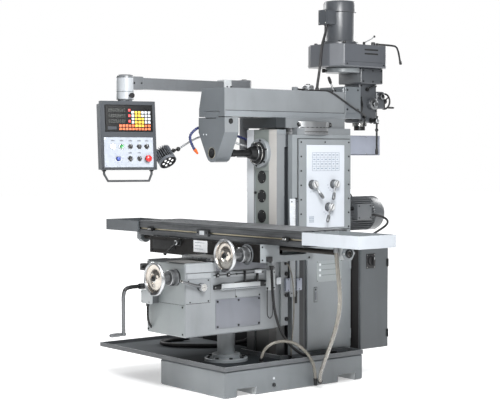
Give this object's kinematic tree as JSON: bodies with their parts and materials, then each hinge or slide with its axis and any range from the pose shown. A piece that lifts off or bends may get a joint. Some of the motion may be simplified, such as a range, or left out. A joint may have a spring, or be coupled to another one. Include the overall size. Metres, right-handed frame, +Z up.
{
  "type": "universal milling machine",
  "caption": "Grey knee-type universal milling machine: horizontal arbor under a sliding ram, vertical head at its rear, long slotted table, hand feeds and a swinging control pendant.",
  "frame": {"origin": "on the floor, under the flat underside of the base, on the machine's centre plane, below the column's front", "axes": "+X to the operator's right, along the table's travel; +Y to the rear, along the ram and the horizontal spindle; +Z up"},
  "size_m": [2.267, 2.0575, 2.2225],
  "materials": {
    "base_casting": "semi-gloss grey enamel",
    "chip_tray": "semi-gloss grey enamel",
    "column_casting": "semi-gloss grey enamel",
    "gear_panel": "semi-gloss grey enamel",
    "rear_box": "semi-gloss pale grey enamel",
    "main_motor": "semi-gloss grey enamel",
    "cabinet_shell": "semi-gloss grey enamel",
    "turret_base": "semi-gloss grey enamel",
    "screw_pedestal": "ground steel",
    "pendant_post": "semi-gloss grey enamel",
    "lamp_arm": "polished chrome",
    "coolant_nozzle": "blue segmented plastic hose",
    "tray_hose": "clear flexible hose, slightly yellowed",
    "cabinet_door": "semi-gloss grey enamel",
    "main_switch": "black moulded plastic",
    "column_door": "semi-gloss grey enamel",
    "gear_lever_1": "polished chrome",
    "gear_lever_2": "polished chrome",
    "gear_lever_3": "polished chrome",
    "spindle": "ground steel",
    "arbor": "blackened steel",
    "ram_casting": "semi-gloss grey enamel",
    "ram_lock_lever": "blackened steel",
    "arbor_support": "semi-gloss grey enamel",
    "lamp_head": "dark anodised",
    "head_casting": "semi-gloss grey enamel",
    "belt_housing": "semi-gloss grey enamel",
    "head_motor": "semi-gloss grey enamel",
    "head_cable": "black sheath",
    "brake_lever": "blackened steel",
    "quill": "ground steel",
    "vertical_spindle": "ground steel",
    "quill_handwheel": "blackened steel",
    "quill_lever": "blackened steel",
    "knee_casting": "semi-gloss light grey enamel",
    "elevating_screw": "ground steel",
    "knee_cable": "black sheath",
    "feed_lever": "polished chrome",
    "cross_handwheel": "polished chrome",
    "knee_crank": "blackened steel",
    "saddle_casting": "machined cast iron",
    "table_handwheel": "polished chrome",
    "table_feed_lever": "polished chrome",
    "table": "machined cast iron",
    "left_tray": "semi-gloss grey enamel",
    "right_tray": "semi-gloss pale grey enamel",
    "left_bracket": "semi-gloss grey enamel",
    "right_bracket": "semi-gloss grey enamel",
    "lead_screw": "ground steel",
    "drain_hose": "clear flexible hose, slightly yellowed",
    "pendant_arm": "semi-gloss light grey enamel",
    "pendant_box": "semi-gloss grey enamel",
    "start_button": "green plastic",
    "selector_1": "black moulded plastic",
    "selector_2": "black moulded plastic",
    "selector_3": "black moulded plastic",
    "speed_knob": "blue plastic",
    "stop_button": "black moulded plastic",
    "selector_4": "black moulded plastic",
    "emergency_button": "red plastic"
  },
  "bodies": {
    "column": {"base_casting": "base_casting", "chip_tray": "chip_tray", "column_casting": "column_casting", "gear_panel": "gear_panel", "rear_box": "rear_box", "main_motor": "main_motor", "cabinet_shell": "cabinet_shell", "turret_base": "turret_base", "screw_pedestal": "screw_pedestal", "pendant_post": "pendant_post", "lamp_arm": "lamp_arm", "coolant_nozzle": "coolant_nozzle", "tray_hose": "tray_hose"},
    "cabinet_door": {"cabinet_door": "cabinet_door"},
    "main_switch": {"main_switch": "main_switch"},
    "column_door": {"column_door": "column_door"},
    "gear_lever_1": {"gear_lever_1": "gear_lever_1"},
    "gear_lever_2": {"gear_lever_2": "gear_lever_2"},
    "gear_lever_3": {"gear_lever_3": "gear_lever_3"},
    "spindle": {"spindle": "spindle", "arbor": "arbor"},
    "ram": {"ram_casting": "ram_casting"},
    "ram_lock": {"ram_lock_lever": "ram_lock_lever"},
    "arbor_support": {"arbor_support": "arbor_support"},
    "lamp": {"lamp_head": "lamp_head"},
    "head": {"head_casting": "head_casting", "belt_housing": "belt_housing", "head_motor": "head_motor", "head_cable": "head_cable"},
    "brake_lever": {"brake_lever": "brake_lever"},
    "quill": {"quill": "quill"},
    "vertical_spindle": {"vertical_spindle": "vertical_spindle"},
    "quill_handwheel": {"quill_handwheel": "quill_handwheel"},
    "quill_lever": {"quill_lever": "quill_lever"},
    "knee": {"knee_casting": "knee_casting", "elevating_screw": "elevating_screw", "knee_cable": "knee_cable"},
    "feed_lever": {"feed_lever": "feed_lever"},
    "cross_handwheel": {"cross_handwheel": "cross_handwheel"},
    "knee_crank": {"knee_crank": "knee_crank"},
    "saddle": {"saddle_casting": "saddle_casting"},
    "table_handwheel": {"table_handwheel": "table_handwheel"},
    "table_feed_lever": {"table_feed_lever": "table_feed_lever"},
    "table": {"table": "table", "left_tray": "left_tray", "right_tray": "right_tray", "left_bracket": "left_bracket", "right_bracket": "right_bracket", "lead_screw": "lead_screw", "drain_hose": "drain_hose"},
    "pendant_arm": {"pendant_arm": "pendant_arm"},
    "pendant": {"pendant_box": "pendant_box"},
    "start_button": {"start_button": "start_button"},
    "selector_1": {"selector_1": "selector_1"},
    "selector_2": {"selector_2": "selector_2"},
    "selector_3": {"selector_3": "selector_3"},
    "speed_knob": {"speed_knob": "speed_knob"},
    "stop_button": {"stop_button": "stop_button"},
    "selector_4": {"selector_4": "selector_4"},
    "emergency_button": {"emergency_button": "emergency_button"}
  },
  "joints": [
    {"name": "cabinet_door_swing", "type": "hinge", "parent": "column", "child": "cabinet_door", "pos_m": [0.252, 0.664, 0.46], "axis": [0, 0, 1], "range_deg": [0, 110]},
    {"name": "main_switch_turn", "type": "hinge", "parent": "cabinet_door", "child": "main_switch", "pos_m": [0.252, 0.522, 0.68], "axis": [1, 0, 0], "range_deg": [0, 90]},
    {"name": "column_door_swing", "type": "hinge", "parent": "column", "child": "column_door", "pos_m": [0.182, 0.426, 0.46], "axis": [0, 0, 1], "range_deg": [0, 80]},
    {"name": "gear_lever_1_turn", "type": "hinge", "parent": "column", "child": "gear_lever_1", "pos_m": [0.19, 0.109, 1.136], "axis": [1, 0, 0], "range_deg": [-60, 10]},
    {"name": "gear_lever_2_turn", "type": "hinge", "parent": "column", "child": "gear_lever_2", "pos_m": [0.19, 0.276, 1.136], "axis": [1, 0, 0], "range_deg": [-10, 60]},
    {"name": "gear_lever_3_turn", "type": "hinge", "parent": "column", "child": "gear_lever_3", "pos_m": [0.19, 0.236, 1.004], "axis": [1, 0, 0], "range_deg": [-40, 40]},
    {"name": "spindle_spin", "type": "hinge", "parent": "column", "child": "spindle", "pos_m": [0, -0.12, 1.315], "axis": [0, 1, 0], "continuous": true},
    {"name": "ram_slide", "type": "slide", "parent": "column", "child": "ram", "axis": [0, 1, 0], "range_m": [-0.12, 0.015]},
    {"name": "ram_lock_turn", "type": "hinge", "parent": "ram", "child": "ram_lock", "pos_m": [0.06, 0.398, 1.675], "axis": [0, 0, 1], "range_deg": [-45, 45]},
    {"name": "arbor_support_slide", "type": "slide", "parent": "ram", "child": "arbor_support", "axis": [0, 1, 0], "range_m": [-0.05, 0.012]},
    {"name": "lamp_swivel", "type": "hinge", "parent": "column", "child": "lamp", "pos_m": [-0.25, -0.517, 1.338], "axis": [0, 0, 1], "range_deg": [-30, 30]},
    {"name": "head_tilt", "type": "hinge", "parent": "ram", "child": "head", "pos_m": [0, 0.58, 1.6], "axis": [0, -1, 0], "range_deg": [0, 45], "deforming": ["head_cable"]},
    {"name": "brake_lever_turn", "type": "hinge", "parent": "head", "child": "brake_lever", "pos_m": [0.06, 0.72, 1.96], "axis": [0, 0, 1], "range_deg": [-30, 30]},
    {"name": "quill_slide", "type": "slide", "parent": "head", "child": "quill", "axis": [0, 0, -1], "range_m": [0, 0.12]},
    {"name": "vertical_spindle_spin", "type": "hinge", "parent": "quill", "child": "vertical_spindle", "pos_m": [0, 0.665, 1.478], "axis": [0, 0, 1], "continuous": true},
    {"name": "quill_handwheel_spin", "type": "hinge", "parent": "head", "child": "quill_handwheel", "pos_m": [0.04, 0.838, 1.633], "axis": [0, 1, 0], "continuous": true},
    {"name": "quill_lever_turn", "type": "hinge", "parent": "head", "child": "quill_lever", "pos_m": [0.1, 0.692, 1.512], "axis": [1, 0, 0], "range_deg": [0, 165]},
    {"name": "knee_slide", "type": "slide", "parent": "column", "child": "knee", "axis": [0, 0, 1], "range_m": [0, 0.22], "deforming": ["knee_cable", "drain_hose"]},
    {"name": "feed_lever_turn", "type": "hinge", "parent": "knee", "child": "feed_lever", "pos_m": [0.18, -0.684, 0.597], "axis": [1, 0, 0], "range_deg": [-20, 20]},
    {"name": "cross_handwheel_spin", "type": "hinge", "parent": "knee", "child": "cross_handwheel", "pos_m": [0.093, -0.784, 0.649], "axis": [0, 1, 0], "continuous": true},
    {"name": "knee_crank_spin", "type": "hinge", "parent": "knee", "child": "knee_crank", "pos_m": [-0.08, -0.784, 0.595], "axis": [0, 1, 0], "continuous": true},
    {"name": "saddle_slide", "type": "slide", "parent": "knee", "child": "saddle", "axis": [0, 1, 0], "range_m": [-0.2, 0], "deforming": ["drain_hose"]},
    {"name": "table_handwheel_spin", "type": "hinge", "parent": "saddle", "child": "table_handwheel", "pos_m": [0.287, -0.45, 0.767], "axis": [0, 1, 0], "continuous": true},
    {"name": "table_feed_lever_turn", "type": "hinge", "parent": "saddle", "child": "table_feed_lever", "pos_m": [-0.331, -0.45, 0.8], "axis": [0, 1, 0], "range_deg": [-30, 30]},
    {"name": "table_slide", "type": "slide", "parent": "saddle", "child": "table", "axis": [1, 0, 0], "range_m": [-0.43, 0.27], "deforming": ["drain_hose"]},
    {"name": "pendant_arm_swing", "type": "hinge", "parent": "column", "child": "pendant_arm", "pos_m": [-0.22, -0.06, 1.7], "axis": [0, 0, 1], "range_deg": [-80, 0]},
    {"name": "pendant_turn", "type": "hinge", "parent": "pendant_arm", "child": "pendant", "pos_m": [-0.22, -0.896, 1.405], "axis": [0, 0, 1], "range_deg": [-70, 70]},
    {"name": "start_button_press", "type": "slide", "parent": "pendant", "child": "start_button", "axis": [-0.9567, 0.2743, -0.0976], "range_m": [0, 0.003], "stiffness_N_per_m": 900},
    {"name": "selector_1_turn", "type": "hinge", "parent": "pendant", "child": "selector_1", "pos_m": [-0.15275, -0.90709, 1.34984], "axis": [0.9567, -0.2743, 0.0976], "range_deg": [-45, 45]},
    {"name": "selector_2_turn", "type": "hinge", "parent": "pendant", "child": "selector_2", "pos_m": [-0.13903, -0.85925, 1.34984], "axis": [0.9567, -0.2743, 0.0976], "range_deg": [-45, 45]},
    {"name": "selector_3_turn", "type": "hinge", "parent": "pendant", "child": "selector_3", "pos_m": [-0.12713, -0.81777, 1.34984], "axis": [0.9567, -0.2743, 0.0976], "range_deg": [-45, 45]},
    {"name": "speed_knob_turn", "type": "hinge", "parent": "pendant", "child": "speed_knob", "pos_m": [-0.16618, -0.9773, 1.28416], "axis": [0.9567, -0.2743, 0.0976], "range_deg": [-135, 135]},
    {"name": "stop_button_press", "type": "slide", "parent": "pendant", "child": "stop_button", "axis": [-0.9567, 0.2743, -0.0976], "range_m": [0, 0.003], "stiffness_N_per_m": 900},
    {"name": "selector_4_turn", "type": "hinge", "parent": "pendant", "child": "selector_4", "pos_m": [-0.1331, -0.86193, 1.28416], "axis": [0.9567, -0.2743, 0.0976], "range_deg": [-45, 45]},
    {"name": "emergency_button_press", "type": "slide", "parent": "pendant", "child": "emergency_button", "axis": [-0.9567, 0.2743, -0.0976], "range_m": [0, 0.005], "stiffness_N_per_m": 900}
  ],
  "couplings": [
    {"joint": "quill_lever_turn", "follows": "quill_slide", "rad_per_m": 23.3}
  ]
}
